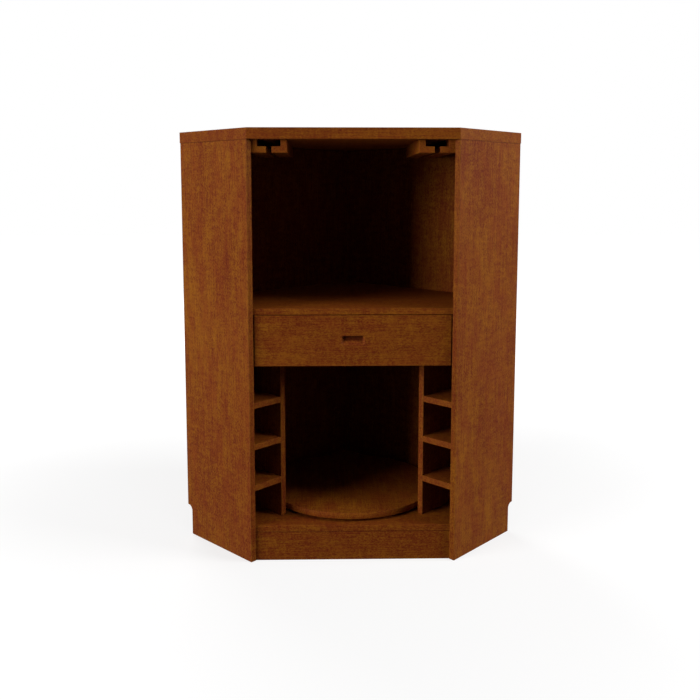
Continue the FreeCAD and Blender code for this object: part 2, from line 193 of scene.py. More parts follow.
class Recipe:
    """A material or the surroundings under construction."""

    def __init__(self, owner: Union[bpy.types.Material, bpy.types.World]) -> None:
        """Empty the node tree of a material or of the surroundings and keep both."""
        owner.use_nodes = True
        self.owner = owner
        self.tree = owner.node_tree
        self.tree.nodes.clear()

    @classmethod
    def named(cls, name: str) -> "Recipe":
        """Start a new material of the given name."""
        return cls(bpy.data.materials.new(name))

    def node(self, kind: str, settings: dict[str, object], inputs: dict[Union[str, int], object],
             output: Union[str, int] = 0) -> Optional[Wire]:
        """Make one node.

        Args:
            kind: The node's type.
            settings: Its settings, set before the sockets.
            inputs: Values or wires by the socket's name or number.
            output: The name or number of the output that is wanted.

        Returns:
            The wire of that output, or nothing where the node has none.
        """
        made = self.tree.nodes.new(kind)
        for key, value in settings.items():
            setattr(made, key, value)
        for key, value in inputs.items():
            socket = made.inputs[key]
            if isinstance(value, Wire):
                self.tree.links.new(value.socket, socket)
            else:
                socket.default_value = value
        return Wire(self, made.outputs[output]) if made.outputs else None

    def place(self, stretch: Point = PLAIN, shift: Point = NO_SHIFT) -> Wire:
        """Give the piece's own coordinates, stretched and then shifted.

        Args:
            stretch: The factor along each axis.
            shift: The distance that is added after the stretch.

        Returns:
            The wire of the coordinates.
        """
        here = self.node("ShaderNodeTexCoord", {}, {}, "Object")
        inputs = {"Vector": here, "Scale": stretch, "Location": shift}
        return self.node("ShaderNodeMapping", {}, inputs)

    def lay(self, pattern: Pattern, grain: Grain, shift: Point = NO_SHIFT) -> Wire:
        """Lay a random pattern along the grain.

        Args:
            pattern: The pattern.
            grain: The way its marks run.
            shift: The distance that the pattern is moved by.

        Returns:
            The wire of the pattern, which varies about 0.5.
        """
        here = self.place(grain.stretch(pattern.length), shift)
        inputs = {"Vector": here, "Scale": pattern.per_metre, "Detail": pattern.layers,
                  "Roughness": pattern.strength}
        return self.node("ShaderNodeTexNoise", {}, inputs)

    def part(self, vector: Wire, axis: str) -> Wire:
        """Take a vector's part along the axis X, Y or Z."""
        return self.node("ShaderNodeSeparateXYZ", {}, {0: vector}, axis)

    def blend(self, share: Wire, first: Union[Wire, Colour], second: Colour) -> Wire:
        """Mix two colours.

        Args:
            share: The share of the second colour.
            first: The first colour, plain or a wire.
            second: The second colour.

        Returns:
            The wire of the mixed colour.
        """
        start = first if isinstance(first, Wire) else opaque(first)
        inputs = {MIX_FACTOR: share, MIX_FIRST: start, MIX_SECOND: opaque(second)}
        return self.node("ShaderNodeMix", {"data_type": "RGBA"}, inputs, MIX_RESULT)

    def measure(self, operation: str, first: Wire, second: Union[Wire, Point] = NO_SHIFT) -> Wire:
        """Work out one value from vectors.

        Args:
            operation: The Vector Math node's operation.
            first: The first vector.
            second: The second vector, a wire or a plain point; LENGTH has no use for it.

        Returns:
            The wire of the value.
        """
        inputs = {0: first, 1: second}
        return self.node("ShaderNodeVectorMath", {"operation": operation}, inputs, "Value")

    def normal(self) -> Wire:
        """Give the normal of the surface."""
        return self.node("ShaderNodeNewGeometry", {}, {}, "Normal")

    def eased(self, radius: float) -> Wire:
        """Give the normal of a surface whose edges are eased by a radius, in metres."""
        return self.node("ShaderNodeBevel", {"samples": EASED_SAMPLES}, {"Radius": radius})

    def worn_edges(self, eased: Wire) -> Wire:
        """Find the edges: 1 less the likeness of the surface's normal to its eased normal.

        Args:
            eased: The wire of the eased normal.

        Returns:
            The wire that is 0 on flat faces and rises to about 0.3 at edges.
        """
        return 1.0 - self.measure("DOT_PRODUCT", eased, self.normal())

    def bump(self, height: Wire, strength: float, depth: float, eased: Wire) -> Wire:
        """Turn a height pattern into a normal.

        Args:
            height: The pattern.
            strength: The strength of the pattern.
            depth: The height of the pattern, in metres.
            eased: The normal that the pattern lies on.

        Returns:
            The wire of the normal.
        """
        inputs = {"Strength": strength, "Distance": depth, "Height": height, "Normal": eased}
        return self.node("ShaderNodeBump", {}, inputs)

    def seen(self) -> Wire:
        """Tell whether a ray comes from the camera or by way of gloss or glass.

        Returns:
            The wire that is 1 for such rays and 0 for the rest.
        """
        rays = [self.node("ShaderNodeLightPath", {}, {}, kind)
                for kind in ("Is Camera Ray", "Is Glossy Ray", "Is Transmission Ray")]
        return rays[0].larger(rays[1]).larger(rays[2])

    def finish(self, sockets: dict[str, object]) -> bpy.types.Material:
        """Add the shader and the output.

        Args:
            sockets: The shader's sockets by name, plain values or wires.

        Returns:
            The finished material.
        """
        shader = self.node("ShaderNodeBsdfPrincipled", {}, sockets)
        self.node("ShaderNodeOutputMaterial", {"target": "ALL"}, {"Surface": shader})
        return self.owner


@dataclass(frozen=True)
class VeneerFinish:
    """Brown-stained veneer, mottled from russet to golden, with fleck, fibres and short dark pores.

    The shade is a weighted sum of fleck, fibre, cloud and ripple, in the order of its shares.
    """

    russet: Colour = linear(130, 67, 20)
    golden: Colour = linear(141, 84, 20)
    deep: Colour = linear(95, 31, 14)
    dark: Colour = linear(64, 21, 7)
    worn: Colour = linear(158, 98, 44)
    # forward_light is painted light: the colour that faces looking forward are lightened towards.
    forward_light: Colour = linear(146, 90, 36)
    patch: Pattern = Pattern(2.8, 32.0, 3.0, 0.6)
    cloud: Pattern = Pattern(1.9, 7.0)
    fleck: Pattern = Pattern(1.6, 340.0, 2.0, 0.7)
    fibre: Pattern = Pattern(34.0, 380.0, 2.0, 0.6)
    ripple: Pattern = Pattern(0.35, 34.0)
    pore: Pattern = Pattern(22.0, 1100.0, 1.0)
    rub: Pattern = Pattern(1.9, 55.0)
    patch_span: Span = (0.32, 0.68)
    shade_span: Span = (0.38, 0.61)
    pore_span: Span = (0.58, 0.7)
    rub_span: Span = (0.35, 0.7)
    edge_span: Span = (0.02, 0.3)
    front_span: Span = (0.74, 0.84)
    shade_shares: tuple[float, float, float, float] = (0.46, 0.24, 0.15, 0.15)
    deepest_share: float = 0.95
    pore_share: float = 0.45
    forward_light_share: float = 0.6
    # The seam strip is partly a dark joint and partly painted shadow under the board above.
    seam_shade_share: float = 0.5
    seam_start: float = 0.003
    seam_full: float = 0.001
    # The hollow's depth, reach and share set the painted shade in the drawer pull.
    hollow_depth: Span = (0.006, 0.0091)
    hollow_reach: Span = (0.032, 0.036)
    hollow_shade_share: float = 0.7
    worn_share: float = 0.45
    specular: float = 0.035
    roughness: float = 0.52
    fibre_roughness: float = 0.1
    pore_roughness: float = 0.12
    cloud_sheen: float = 0.08
    fibre_height: float = 0.4
    relief: float = 0.22
    relief_depth: float = 0.0004
    edge_reach: float = 0.0016
    seed_step: Point = (3.1, 1.7, 2.3)

    def material(self, name: str, grain: Grain, seed: float, lit_forward: bool = False,
                 seam: Optional[float] = None,
                 hollow: Optional[Point] = None) -> bpy.types.Material:
        """Make the veneer of one piece.

        Args:
            name: The material's name.
            grain: The way the grain runs.
            seed: A number that moves the pattern, so that no two boards are alike.
            lit_forward: Whether faces that look forward are lightened, as painted light from the
                front.
            seam: The level of a joint above, below which a dark line is painted, in metres: partly
                a dark joint, partly painted shadow of the board above.
            hollow: The middle of a scooped hollow in the front face, in metres; its deepest part is
                darkened as painted shade.

        Returns:
            The finished material.
        """
        recipe = Recipe.named(name)
        shift = tuple(step * seed for step in self.seed_step)
        patterns = (
            self.patch, self.cloud, self.fleck, self.fibre, self.ripple, self.pore, self.rub)
        patch, cloud, fleck, fibre, ripple, pore, rub = (
            recipe.lay(pattern, grain, shift) for pattern in patterns)
        pore = pore.between(self.pore_span)
        colour = recipe.blend(patch.between(self.patch_span), self.russet, self.golden)
        first, second, third, fourth = self.shade_shares
        shade = first * fleck + second * fibre + third * cloud + fourth * ripple
        darkness = self.deepest_share - shade.between(self.shade_span)
        colour = recipe.blend(darkness, colour, self.deep)
        colour = recipe.blend(self.pore_share * pore, colour, self.dark)
        # Painted light: faces that look forward are lightened.
        if lit_forward:
            colour = self._painted_forward_light(recipe, colour)
        # Painted shadow, with a dark joint: a narrow strip below the joint is darkened.
        if seam is not None:
            colour = self._seam_shade(recipe, colour, seam)
        # Painted shade: the deep part of the pull's hollow is darkened.
        if hollow is not None:
            colour = self._hollow_painted_shade(recipe, colour, hollow)
        eased = recipe.eased(self.edge_reach)
        wear = recipe.worn_edges(eased).between(self.edge_span) * rub.between(self.rub_span)
        colour = recipe.blend(wear * self.worn_share, colour, self.worn)
        rough = self.roughness + self.fibre_roughness * fibre + self.pore_roughness * pore
        height = fibre * self.fibre_height - pore
        return recipe.finish({
            "Base Color": colour, "Roughness": rough - self.cloud_sheen * cloud,
            "Normal": recipe.bump(height, self.relief, self.relief_depth, eased),
            "Specular IOR Level": self.specular})

    def _painted_forward_light(self, recipe: Recipe, colour: Wire) -> Wire:
        """Lighten the faces that look forward, as painted light from the front.

        Args:
            recipe: The material under construction.
            colour: The colour so far.

        Returns:
            The wire of the new colour.
        """
        forward = 0.0 - recipe.part(recipe.normal(), "Y")
        share = self.forward_light_share * forward.between(self.front_span)
        return recipe.blend(share, colour, self.forward_light)

    def _seam_shade(self, recipe: Recipe, colour: Wire, seam: float) -> Wire:
        """Darken a narrow strip below a joint: partly a dark joint, partly painted shadow under the
        board above.

        Args:
            recipe: The material under construction.
            colour: The colour so far.
            seam: The level of the joint, in metres.

        Returns:
            The wire of the new colour.
        """
        rise = (seam - self.seam_start, seam - self.seam_full)
        below = recipe.part(recipe.place(), "Z").between(rise)
        return recipe.blend(self.seam_shade_share * below, colour, self.dark)

    def _hollow_painted_shade(self, recipe: Recipe, colour: Wire, hollow: Point) -> Wire:
        """Darken the deepest part of a hollow as painted shade, where the shadow under its upper
        lip falls.

        Args:
            recipe: The material under construction.
            colour: The colour so far.
            hollow: The middle of the hollow, in the plane of the face.

        Returns:
            The wire of the new colour.
        """
        place = recipe.place()
        near = 1.0 - recipe.measure("DISTANCE", place, hollow).between(self.hollow_reach)
        depth = recipe.part(place, "Y") - hollow[1]
        # Painted shade: darker with depth, near the middle of the hollow.
        stain_and_shade = depth.between(self.hollow_depth) * near
        return recipe.blend(self.hollow_shade_share * stain_and_shade, colour, self.dark)


@dataclass(frozen=True)
class PlainWoodFinish:
    """Pale clear-finished or bare wood with straight growth lines."""

    pale: Colour
    deep: Colour
    roughness: float
    line: Pattern = Pattern(22.0, 110.0, 4.0, 0.65)
    cloud: Pattern = Pattern(22.0, 18.0)
    line_share: float = 0.65
    cloud_share: float = 0.35
    tone_span: Span = (0.32, 0.68)
    edge_span: Span = (0.03, 0.3)
    worn_share: float = 0.3
    line_roughness: float = 0.15
    specular: float = 0.3
    relief: float = 0.15
    relief_depth: float = 0.0004
    edge_reach: float = 0.0015
    seed_step: Point = (1.9, 2.9, 1.3)

    def material(self, name: str, grain: Grain, seed: float) -> bpy.types.Material:
        """Make the wood of one piece.

        Args:
            name: The material's name.
            grain: The way the grain runs.
            seed: A number that moves the pattern.

        Returns:
            The finished material.
        """
        recipe = Recipe.named(name)
        shift = tuple(step * seed for step in self.seed_step)
        line = recipe.lay(self.line, grain, shift)
        tone = line * self.line_share + recipe.lay(self.cloud, grain, shift) * self.cloud_share
        colour = recipe.blend(tone.between(self.tone_span), self.deep, self.pale)
        eased = recipe.eased(self.edge_reach)
        wear = recipe.worn_edges(eased).between(self.edge_span)
        colour = recipe.blend(wear * self.worn_share, colour, self.deep)
        return recipe.finish({
            "Base Color": colour, "Roughness": self.roughness + self.line_roughness * line,
            "Normal": recipe.bump(line, self.relief, self.relief_depth, eased),
            "Specular IOR Level": self.specular})


@dataclass(frozen=True)
class CoatFinish:
    """Paint or moulded plastic with a fine skin, faint stains and rubbed edges."""

    colour: Colour
    rubbed: Colour
    roughness: float
    skin: Pattern = Pattern(1.0, 2600.0, 2.0, 0.6)
    stain_and_shade: Pattern = Pattern(1.0, 35.0, 3.0, 0.6)
    stain_span: Span = (0.4, 0.75)
    edge_span: Span = (0.03, 0.3)
    stain_share: float = 0.22
    worn_share: float = 0.5
    stain_roughness: float = 0.18
    relief: float = 0.25
    relief_depth: float = 0.00012
    edge_reach: float = 0.0005

    def material(self, name: str) -> bpy.types.Material:
        """Make the coat.

        Args:
            name: The material's name.

        Returns:
            The finished material.
        """
        recipe = Recipe.named(name)
        skin, stain_and_shade = (recipe.lay(pattern, Grain.DEEP) for pattern in (self.skin, self.stain_and_shade))
        spots = stain_and_shade.between(self.stain_span) * self.stain_share
        colour = recipe.blend(spots, self.colour, self.rubbed)
        eased = recipe.eased(self.edge_reach)
        wear = recipe.worn_edges(eased).between(self.edge_span)
        colour = recipe.blend(wear * self.worn_share, colour, self.rubbed)
        return recipe.finish({
            "Base Color": colour, "Roughness": self.roughness + self.stain_roughness * stain_and_shade,
            "Normal": recipe.bump(skin, self.relief, self.relief_depth, eased)})


@dataclass(frozen=True)
class SteelFinish:
    """Plated steel with drawn lines from front to back."""

    colour: Colour
    dull: Colour
    roughness: float
    drawn: Pattern = Pattern(22.0, 1500.0, 3.0, 0.7)
    bloom: Pattern = Pattern(1.0, 60.0, 3.0, 0.6)
    bloom_span: Span = (0.35, 0.75)
    drawn_roughness: float = 0.22
    relief: float = 0.12
    relief_depth: float = 0.0002
    edge_reach: float = 0.0003

    def material(self, name: str) -> bpy.types.Material:
        """Make the steel.

        Args:
            name: The material's name.

        Returns:
            The finished material.
        """
        recipe = Recipe.named(name)
        drawn, bloom = (recipe.lay(pattern, Grain.DEEP) for pattern in (self.drawn, self.bloom))
        colour = recipe.blend(bloom.between(self.bloom_span), self.colour, self.dull)
        eased = recipe.eased(self.edge_reach)
        rough = self.roughness + self.drawn_roughness * drawn
        return recipe.finish({
            "Base Color": colour, "Metallic": 1.0, "Roughness": rough,
            "Normal": recipe.bump(drawn, self.relief, self.relief_depth, eased)})


VENEER = VeneerFinish()
CALM_VENEER = VeneerFinish(patch_span=(0.21, 0.79), shade_span=(0.36, 0.63))
DRAWER_WOOD = PlainWoodFinish(linear(222, 190, 146), linear(192, 152, 106), roughness=0.42)
BASE_WOOD = PlainWoodFinish(linear(205, 172, 128), linear(170, 132, 90), roughness=0.6)
RUNNER_COAT = CoatFinish(linear(222, 219, 210), linear(178, 174, 164), roughness=0.32)
ROLLER_PLASTIC = CoatFinish(linear(214, 214, 210), linear(168, 168, 164), roughness=0.38)
CAGE_PLASTIC = CoatFinish(linear(66, 66, 66), linear(92, 92, 92), roughness=0.45)
SILICONE = CoatFinish(linear(206, 202, 192), linear(188, 184, 174), roughness=0.3)
ZINC = SteelFinish(linear(196, 199, 204), linear(160, 163, 168), roughness=0.3)
BRIGHT = SteelFinish(linear(208, 206, 202), linear(176, 174, 170), roughness=0.22)
BRONZED = SteelFinish(linear(72, 44, 24), linear(52, 32, 18), roughness=0.5)


def dress(node: str, material: bpy.types.Material) -> None:
    """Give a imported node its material.

    Args:
        node: The node's name.
        material: The finished material.
    """
    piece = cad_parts[node]
    if not piece.material_slots:
        piece.data.materials.append(None)
    for slot in piece.material_slots:
        slot.material = material
    LOG.info("dressed %s", node)


@dataclass(frozen=True)
class EasedEdges:
    """Sharp edges of a board, taken off as with fine paper.

    The triangles of each flat face are joined first, so that only real edges are eased.
    """

    width: float = 0.0007
    steps: int = 2
    flat_angle: float = math.radians(0.5)
    sharp_angle: float = math.radians(38.0)
    join_distance: float = 0.00001

    def apply(self, node: str) -> None:
        """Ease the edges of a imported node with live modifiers.

        Args:
            node: The node's name.
        """
        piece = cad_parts[node]
        self._join(piece)
        flat = piece.modifiers.new("flat", "DECIMATE")
        flat.decimate_type = "DISSOLVE"
        flat.angle_limit = self.flat_angle
        ease = piece.modifiers.new("eased", "BEVEL")
        ease.width = self.width
        ease.segments = self.steps
        ease.limit_method = "ANGLE"
        ease.angle_limit = self.sharp_angle
        ease.use_clamp_overlap = False
        self._join(piece)

    def _join(self, piece: bpy.types.Object) -> None:
        """Make one of all points that share a place."""
        join = piece.modifiers.new("joined", "WELD")
        join.merge_threshold = self.join_distance


EASED = EasedEdges()


def corners(node: str) -> tuple[np.ndarray, np.ndarray]:
    """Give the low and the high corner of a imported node's box."""
    low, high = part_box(node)
    return np.array(low), np.array(high)


def along(low: float, high: float, share: float) -> float:
    """Give the place at a share of the way from a low to a high place."""
    return low + share * (high - low)


def mesh_piece(name: str, points: np.ndarray, faces: np.ndarray,
               smooth: bool = True) -> bpy.types.Object:
    """Make an object from arrays of points and four-sided faces.

    Points that share a place become one, which closes seams and poles, and closed shells face
    outwards.

    Args:
        name: The object's name.
        points: The points, one row each, in metres.
        faces: The faces, one row each.
        smooth: Whether the faces are shaded smooth.

    Returns:
        The linked object, at the origin.
    """
    mesh = bpy.data.meshes.new(name)
    mesh.from_pydata(points.tolist(), [], faces.tolist())
    shell = bmesh.new()
    shell.from_mesh(mesh)
    bmesh.ops.remove_doubles(shell, verts=shell.verts, dist=SAME_PLACE)
    bmesh.ops.recalc_face_normals(shell, faces=shell.faces)
    shell.to_mesh(mesh)
    shell.free()
    mesh.polygons.foreach_set("use_smooth", np.full(len(mesh.polygons), smooth))
    mesh.update()
    piece = bpy.data.objects.new(name, mesh)
    bpy.context.scene.collection.objects.link(piece)
    return piece


def fit(piece: bpy.types.Object, material: bpy.types.Material, body: str) -> None:
    """Finish a new piece and set it on the body that it moves with.

    Args:
        piece: The new piece.
        material: Its finish.
        body: The body that it rides on.
    """
    piece.data.materials.append(material)
    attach(piece, body)
    LOG.info("built %s", piece.name)


def grid_faces(rows: int, columns: int) -> np.ndarray:
    """Number the four-sided faces between the neighbours of a grid.

    Args:
        rows: The number of rows.
        columns: The number of columns.

    Returns:
        The faces, one row each.
    """
    first = (np.arange(rows - 1)[:, None] * columns + np.arange(columns - 1)[None, :]).reshape(-1)
    return np.stack([first, first + 1, first + columns + 1, first + columns], axis=-1)


def repeated(local: np.ndarray, faces: np.ndarray,
             seats: np.ndarray) -> tuple[np.ndarray, np.ndarray]:
    """Set a copy of one shape at each seat.

    Args:
        local: The shape's points about its own origin.
        faces: The shape's faces.
        seats: The places, one row each.

    Returns:
        All points and all faces.
    """
    points = (seats[:, None, :] + local[None, :, :]).reshape(-1, 3)
    stride = len(local) * np.arange(len(seats))[:, None, None]
    return points, (faces[None, :, :] + stride).reshape(-1, faces.shape[1])


def turned(radii: np.ndarray, heights: np.ndarray, axis: Point,
           steps: int) -> tuple[np.ndarray, np.ndarray]:
    """Turn a profile about an axis through the origin.

    The point at a profile's step and an angle lies at the step's radius in the direction of the
    angle, square to the axis, and at the step's height along the axis.

    Args:
        radii: The radius of each step of the profile; 0 closes the shape.
        heights: The height of each step, one for all angles or a row with one for each angle.
        axis: The unit axis.
        steps: The number of steps of the turn.

    Returns:
        The points and the faces.
    """
    angle = np.linspace(0.0, FULL_TURN, steps + 1)
    upward = np.array(axis)
    first = np.cross(upward, BACKWARD if upward[2] else UP)
    second = np.cross(upward, first)
    spoke = np.cos(angle)[:, None] * first + np.sin(angle)[:, None] * second
    rows = heights if heights.ndim == 2 else np.repeat(heights[:, None], steps + 1, axis=1)
    points = radii[:, None, None] * spoke[None] + rows[:, :, None] * upward
    return points.reshape(-1, 3), grid_faces(len(radii), steps + 1)


@dataclass
class ScrewHeads:
    """A set of like screw heads with cross slots, which ride on one body."""

    name: str
    body: str
    seats: list[Point]
    facing: Point
    radius: float = 0.004
    rise: float = 0.0014
    slot_depth: float = 0.0011
    finish: SteelFinish = BRIGHT
    sink: float = 0.002
    dome_fall: float = 0.45
    rim_share: float = 0.3
    shank_share: float = 0.45
    taper_share: float = 0.8
    slot_reach: float = 0.6
    slot_half_width: float = 0.14
    dome_shares: tuple[float, ...] = (0.0, 0.1, 0.2, 0.3, 0.4, 0.5, 0.58, 0.62, 0.75, 0.88, 0.97)
    steps: int = 32

    def build(self) -> None:
        """Build the heads.

        Each head is a profile turned about the seat's axis: a low dome whose height falls with the
        square of the radius, a rim, and a taper to a short shank below the seat. Within the slot's
        reach the dome is lowered where the distance from either of two crossed lines is less than
        the slot's half width.
        """
        dome = np.array(self.dome_shares)
        shares = np.concatenate([dome, [1.0, self.shank_share, self.shank_share, 0.0]])
        below = [self.rise * self.rim_share, -self.sink * self.taper_share, -self.sink, -self.sink]
        heights = np.concatenate([self.rise * (1.0 - self.dome_fall * dome ** 2), below])
        angle = np.linspace(0.0, FULL_TURN, self.steps + 1)
        sideways = shares[:, None] * np.minimum(np.abs(np.cos(angle)), np.abs(np.sin(angle)))
        inside = (shares < self.slot_reach) & (heights > 0)
        cut = inside[:, None] & (sideways < self.slot_half_width)
        heights = heights[:, None] - self.slot_depth * cut
        local, faces = turned(shares * self.radius, heights, self.facing, self.steps)
        points, faces = repeated(local, faces, np.array(self.seats))
        piece = mesh_piece(self.name, points, faces, smooth=False)
        fit(piece, self.finish.material(f"{self.name}_steel"), self.body)


@dataclass
class Bumpers:
    """Soft domes that stop the drawer front just short of the cheeks."""

    seats: list[Point]
    radius: float = 0.0042
    rise: float = 0.0009
    rows: int = 9
    fall: float = 0.8
    fall_power: int = 4
    steps: int = 28

    def build(self) -> None:
        """Build the domes: a height that falls with a power of the radius, turned about a seat."""
        share = np.linspace(0.0, 1.0, self.rows)
        radii = np.concatenate([share, [1.0, 0.0]]) * self.radius
        dome = self.rise * (1.0 - self.fall * share ** self.fall_power)
        heights = np.concatenate([dome, [0.0, 0.0]])
        local, faces = turned(radii, heights, FORWARD, self.steps)
        points, faces = repeated(local, faces, np.array(self.seats))
        piece = mesh_piece("drawer_bumpers", points, faces)
        fit(piece, SILICONE.material("bumper_silicone"), "carcass")


@dataclass
class BallRing:
    """The balls of the turntable's bearing and the cage that spaces them."""

    ball_count: int = 20
    ball_radius: float = 0.0026
    ball_rows: int = 11
    ball_steps: int = 18
    cage_half_width: float = 0.0029
    cage_half_height: float = 0.0007
    cage_squareness: float = 0.8
    cage_rows: int = 17
    cage_steps: int = 96

    def build(self) -> None:
        """Build the cage and the balls in the place of the plain ring."""
        low, high = corners("bearing_ball_ring")
        centre = (low + high) / 2
        race = (high[0] - low[0]) / 2 - self.cage_half_width
        self._cage(centre, race)
        self._balls(centre, race)

    def _cage(self, centre: np.ndarray, race: float) -> None:
        """Build the cage: a rectangle with eased corners, turned about the centre of the race.

        The rectangle is a circle whose points are drawn out towards a square by a power of their
        greater part, and then scaled to its half width and half height.

        Args:
            centre: The centre of the race.
            race: The radius of the race.
        """
        angle = np.linspace(0.0, FULL_TURN, self.cage_rows)
        circle = np.stack([np.cos(angle), np.sin(angle)])
        across, up = circle / np.abs(circle).max(axis=0) ** self.cage_squareness
        radii = race + self.cage_half_width * across
        points, faces = turned(radii, self.cage_half_height * up, UP, self.cage_steps)
        cage = mesh_piece("bearing_cage", points + centre, faces)
        fit(cage, CAGE_PLASTIC.material("bearing_cage_plastic"), "ball_ring")
        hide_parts("bearing_ball_ring")

    def _balls(self, centre: np.ndarray, race: float) -> None:
        """Build the balls: half circles turned about upright axes, evenly spaced round the race.

        Args:
            centre: The centre of the race.
            race: The radius of the race.
        """
        tilt = np.linspace(0.0, math.pi, self.ball_rows)
        radii, heights = self.ball_radius * np.sin(tilt), self.ball_radius * np.cos(tilt)
        local, faces = turned(radii, heights, UP, self.ball_steps)
        around = np.arange(self.ball_count) * (FULL_TURN / self.ball_count)
        spoke = np.stack([np.cos(around), np.sin(around), np.zeros_like(around)], axis=-1)
        seats = centre + race * spoke
        points, faces = repeated(local, faces, seats)
        balls = mesh_piece("bearing_balls", points, faces)
        fit(balls, BRIGHT.material("bearing_ball_steel"), "ball_ring")


@dataclass
class Carcass:
    """The boards of the module: top, ends, customer side, shelf, deck, floor board and base."""

    upright: tuple[str, ...] = (
        "end_panel_left", "end_panel_right", "customer_panel_left", "customer_panel_right",
        "drawer_cheek_left", "drawer_cheek_right")
    level: tuple[str, ...] = ("counter_top", "fixed_shelf", "drawer_deck", "bottom_panel")
    plinth: tuple[str, ...] = ("front_kick_board", "rear_plinth_left", "rear_plinth_right")
    base: tuple[str, ...] = (
        "bottom_bearer", "plinth_corner_blocks", "carcass_tenons", "top_tenons")
    upright_seed: float = 1.0
    level_seed: float = 11.0
    plinth_seed: float = 15.0
    base_seed: float = 31.0

    def dress(self) -> None:
        """Dress the boards, with the grain upright or crosswise.

        A dark strip is painted under the top and under the floor board: partly a dark joint, partly
        painted shadow of the board above.
        """
        # The joint levels set where a dark strip is painted below them, partly painted shadow.
        top_joint = float(corners("counter_top")[0][2])
        floor_joint = float(corners("bottom_panel")[0][2])
        for node in (*self.upright, *self.level, *self.plinth):
            EASED.apply(node)
        for number, node in enumerate(self.upright):
            seed = self.upright_seed + number
            # True lightens the faces that look forward, as painted light.
            dress(node, VENEER.material(f"{node}_veneer", Grain.UPRIGHT, seed, True, top_joint))
        for number, node in enumerate(self.level):
            seed = self.level_seed + number
            dress(node, CALM_VENEER.material(f"{node}_veneer", Grain.CROSSWISE, seed))
        for number, node in enumerate(self.plinth):
            seed = self.plinth_seed + number
            veneer = CALM_VENEER.material(f"{node}_veneer", Grain.CROSSWISE, seed, seam=floor_joint)
            dress(node, veneer)
        for number, node in enumerate(self.base):
            seed = self.base_seed + number
            dress(node, BASE_WOOD.material(f"{node}_wood", Grain.CROSSWISE, seed))


@dataclass
class BottleRacks:
    """The uprights and small shelves of the two bottle racks."""

    sides: tuple[str, str] = ("left", "right")
    shelves: tuple[int, ...] = (1, 2, 3)
    divider_seed: float = 41.0
    shelf_seed: float = 43.0

    def dress(self) -> None:
        """Dress the uprights with upright grain and the shelves with crosswise grain."""
        for number, side in enumerate(self.sides):
            divider = f"bottle_divider_{side}"
            seed = self.divider_seed + number
            EASED.apply(divider)
            # True lightens the faces that look forward, as painted light.
            dress(divider, VENEER.material(f"{divider}_veneer", Grain.UPRIGHT, seed, True))
            for shelf in self.shelves:
                node = f"bottle_shelf_{side}_{shelf}"
                seed = self.shelf_seed + len(self.shelves) * number + shelf
                EASED.apply(node)
                dress(node, CALM_VENEER.material(f"{node}_veneer", Grain.CROSSWISE, seed))


@dataclass
class StemwareRacks:
    """The four rails under the top, with their screws."""

    rails: tuple[str, ...] = (
        "glass_rail_left_outer", "glass_rail_left_inner", "glass_rail_right_inner",
        "glass_rail_right_outer")
    low_legs: tuple[str, ...] = ("glass_rail_left_outer", "glass_rail_right_inner")
    screw_shares: tuple[float, ...] = (0.12, 0.5, 0.88)
    screw_radius: float = 0.0036
    screw_rise: float = 0.0007
    screw_slot: float = 0.0016
    leg_half: float = 0.0075
    rail_seed: float = 61.0

    def dress(self) -> None:
        """Dress the rails with grain along their length."""
        for number, rail in enumerate(self.rails):
            EASED.apply(rail)
            dress(rail, VENEER.material(f"{rail}_veneer", Grain.DEEP, self.rail_seed + number))

    def build(self) -> None:
        """Set the screws in the underside of each rail, below the leg that meets the top."""
        seats = []
        for rail in self.rails:
            low, high = corners(rail)
            x = low[0] + self.leg_half if rail in self.low_legs else high[0] - self.leg_half
            seats += [(x, along(low[1], high[1], share), low[2]) for share in self.screw_shares]
        ScrewHeads("glass_rail_screws", "carcass", seats, DOWN, self.screw_radius, self.screw_rise,
                   self.screw_slot, BRONZED).build()


